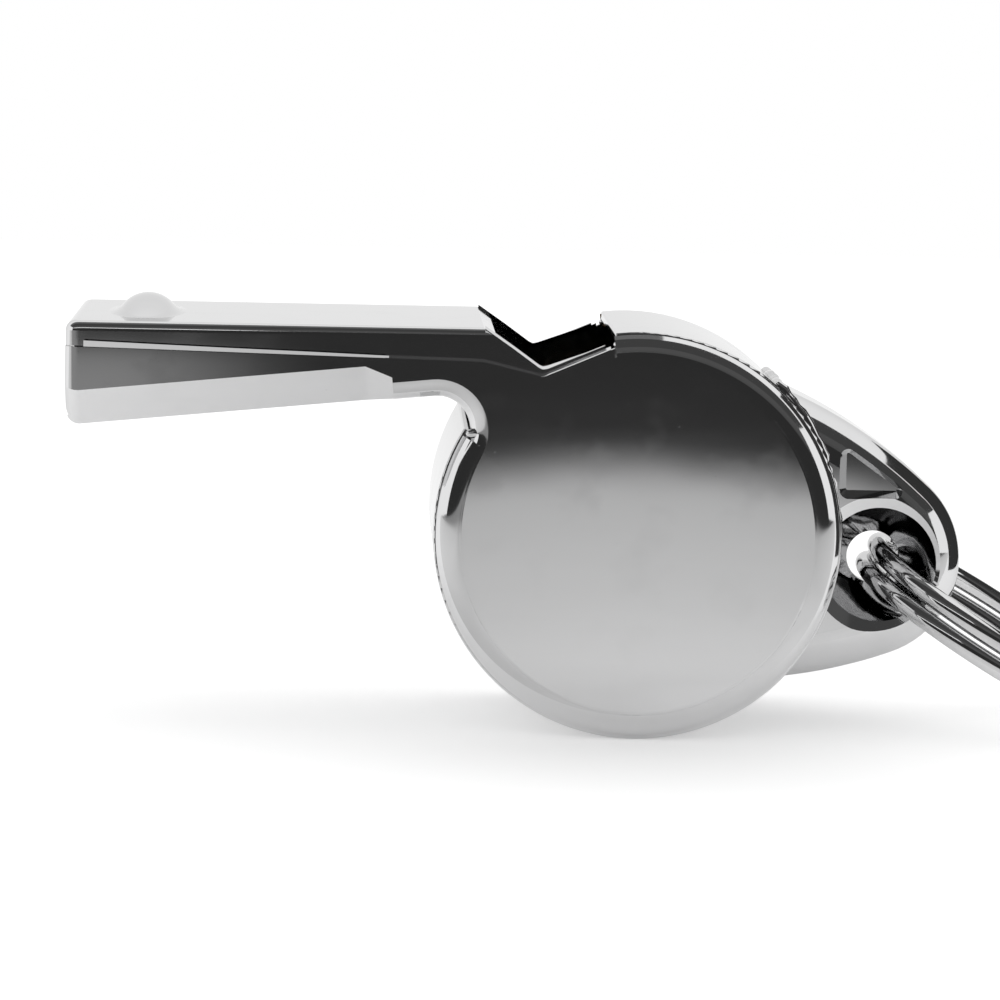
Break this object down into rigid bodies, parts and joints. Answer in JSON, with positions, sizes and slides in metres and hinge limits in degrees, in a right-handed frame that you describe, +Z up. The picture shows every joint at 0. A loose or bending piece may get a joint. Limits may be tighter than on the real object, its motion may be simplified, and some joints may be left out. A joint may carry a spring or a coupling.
{
  "type": "pea whistle",
  "caption": "Pressed and plated metal pea whistle: round drum with a loose cork pea, flat mouthpiece with a bite ridge, open sound window, lug and a free-swinging split ring.",
  "frame": {"origin": "on the surface that the whistle lies on, under the middle of its overall length, on the centre plane", "axes": "+X from the mouthpiece towards the ring, Y along the drum's axis, +Z up"},
  "size_m": [0.0553, 0.0186, 0.0218],
  "materials": {
    "plated_shell": "bright nickel or chrome plate on pressed sheet",
    "plated_cover": "bright nickel or chrome plate on pressed sheet",
    "plated_band": "bright nickel or chrome plate on rolled sheet",
    "plated_lug": "bright plate on a solid lug, with a soldered joint",
    "ring_wire": "bright plated spring wire",
    "cork": "matt natural cork"
  },
  "bodies": {
    "whistle_body": {"right_shell": "plated_shell", "left_shell": "plated_shell", "top_cover": "plated_cover", "barrel_band": "plated_band", "windway_plate": "plated_cover", "ring_lug": "plated_lug"},
    "ring": {"split_ring": "ring_wire"},
    "pea": {"cork_pea": "cork"}
  },
  "joints": [
    {"name": "ring_swing", "type": "hinge", "parent": "whistle_body", "child": "ring", "pos_m": [0.01429, 0, 0.00875], "axis": [0, -1, 0], "range_deg": [-82, 128]},
    {"name": "pea_whirl", "type": "hinge", "parent": "whistle_body", "child": "pea", "pos_m": [0.00159, 0, 0.0104], "axis": [0, 1, 0], "continuous": true}
  ]
}
